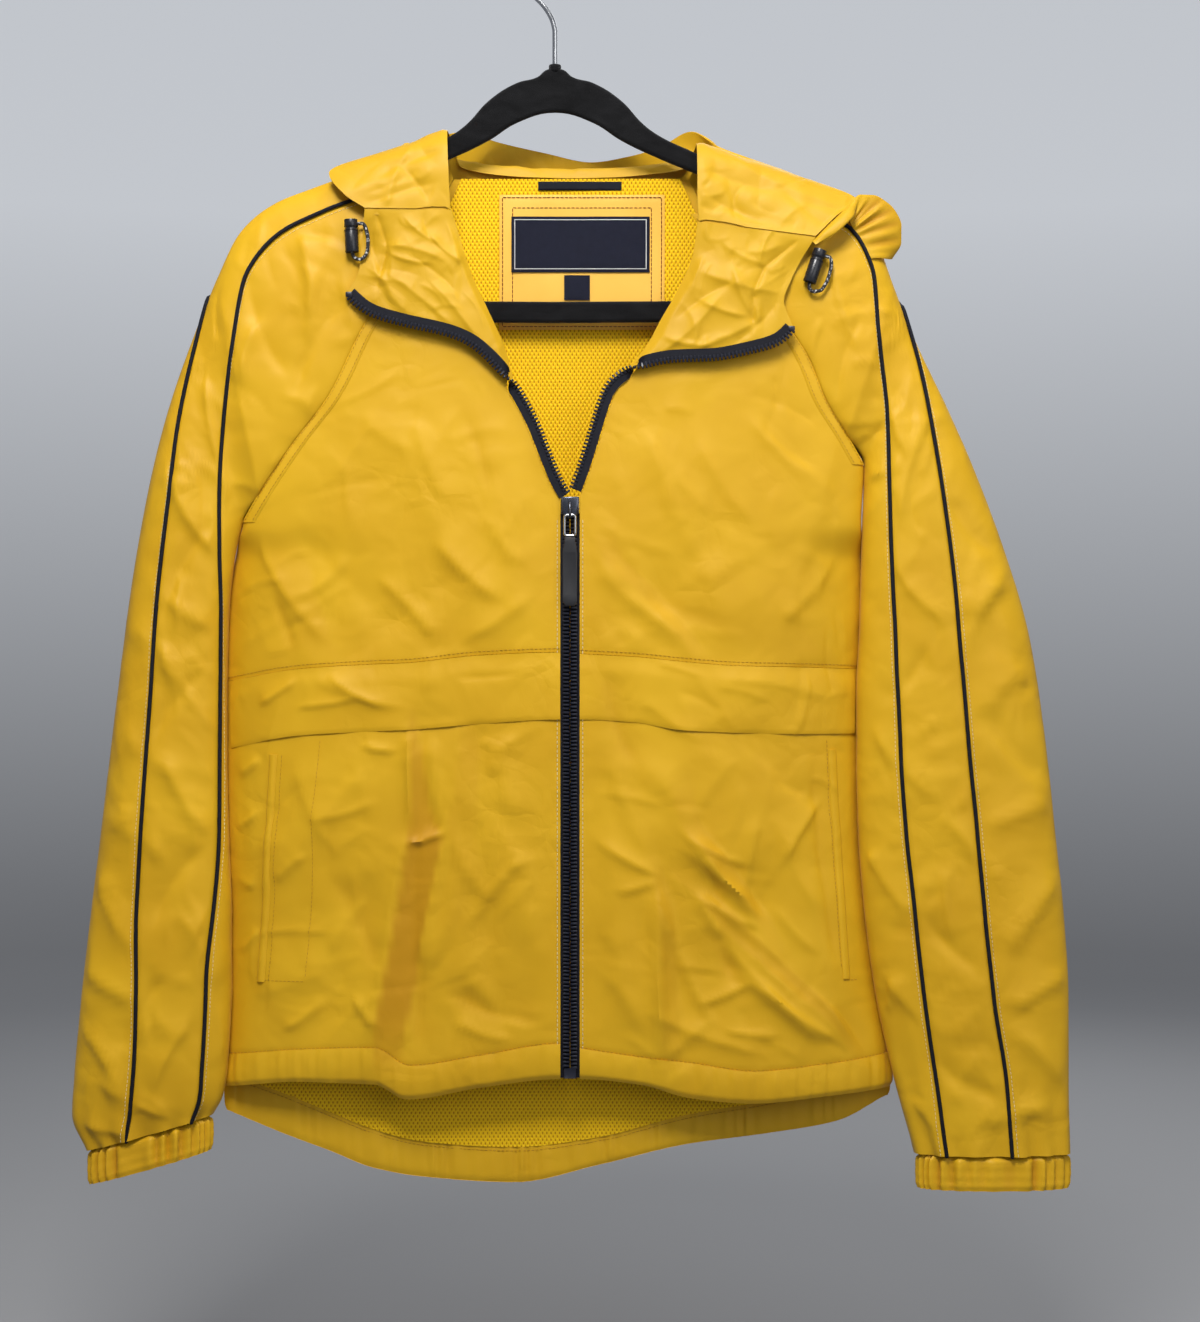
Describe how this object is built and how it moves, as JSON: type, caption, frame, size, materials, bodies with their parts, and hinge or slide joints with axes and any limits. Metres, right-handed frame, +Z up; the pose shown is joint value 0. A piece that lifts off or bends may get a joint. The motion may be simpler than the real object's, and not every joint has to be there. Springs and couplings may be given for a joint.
{
  "type": "hooded windbreaker on a hanger",
  "caption": "Yellow hooded zip-front windbreaker with raglan sleeves, dark piping and a storm flap, hung half open on a flocked hanger.",
  "frame": {"origin": "underside of the top of the hanger's hook, where it hangs", "axes": "+Z up along the hanger's stem, the jacket faces -Y, +X towards the wearer's left sleeve"},
  "size_m": [0.6784, 0.079, 0.8544],
  "materials": {
    "shell_cloth": "crisp yellow polyester, soft sheen, pressed creases",
    "facing_cloth": "brighter inner side of the same cloth",
    "mesh_lining": "golden knitted mesh with small diamond holes",
    "neck_patch_cloth": "smooth light yellow cloth, red-brown stitched frames",
    "woven_label": "navy woven damask, bare",
    "piping": "black-navy corded piping",
    "zip_tape": "black-navy woven tape, cream stitching",
    "zip_teeth": "moulded black-navy",
    "zip_metal": "polished, lightly worn",
    "pull_tab": "black ribbed tab",
    "cord_lock": "moulded black",
    "cord": "black braid with white flecks",
    "hanger_velvet": "black flock",
    "hook_steel": "bright plated wire"
  },
  "bodies": {
    "garment": {"back_hem": "shell_cloth", "back_lining": "mesh_lining", "back_panel": "shell_cloth", "cord_lock_left": "cord_lock", "cord_lock_right": "cord_lock", "cord_loop_left": "cord", "cord_loop_right": "cord", "cuff_left": "shell_cloth", "cuff_right": "shell_cloth", "front_hem_left": "shell_cloth", "front_hem_right": "shell_cloth", "front_lower_left": "shell_cloth", "front_lower_right": "shell_cloth", "front_upper_left": "shell_cloth", "front_upper_right": "shell_cloth", "hang_loop": "woven_label", "hanger_body": "hanger_velvet", "hanger_hook": "hook_steel", "hood_brim_left": "facing_cloth", "hood_brim_right": "facing_cloth", "hood_centre": "shell_cloth", "hood_left": "shell_cloth", "hood_right": "shell_cloth", "hood_roll_left": "shell_cloth", "lapel_left": "facing_cloth", "lapel_right": "facing_cloth", "neck_label": "woven_label", "neck_patch": "neck_patch_cloth", "piping_back_left": "piping", "piping_back_right": "piping", "piping_front_left": "piping", "piping_front_right": "piping", "pocket_welt_left": "shell_cloth", "pocket_welt_right": "shell_cloth", "size_tab": "woven_label", "sleeve_back_left": "shell_cloth", "sleeve_back_right": "shell_cloth", "sleeve_front_left": "shell_cloth", "sleeve_front_right": "shell_cloth", "sleeve_strip_left": "shell_cloth", "sleeve_strip_right": "shell_cloth", "storm_flap_left": "shell_cloth", "storm_flap_right": "shell_cloth", "zip_box": "zip_teeth", "zip_chain": "zip_teeth", "zip_slider": "zip_metal", "zip_tape_left": "zip_tape", "zip_tape_right": "zip_tape", "zip_teeth_left": "zip_teeth", "zip_teeth_right": "zip_teeth"},
    "pull_tab": {"zip_link": "zip_metal", "zip_tab": "pull_tab"}
  },
  "joints": [
    {"name": "pull_swing", "type": "hinge", "parent": "garment", "child": "pull_tab", "pos_m": [0.0105, -0.02979, -0.3954], "axis": [-1, 0, 0], "range_deg": [0, 150]}
  ]
}
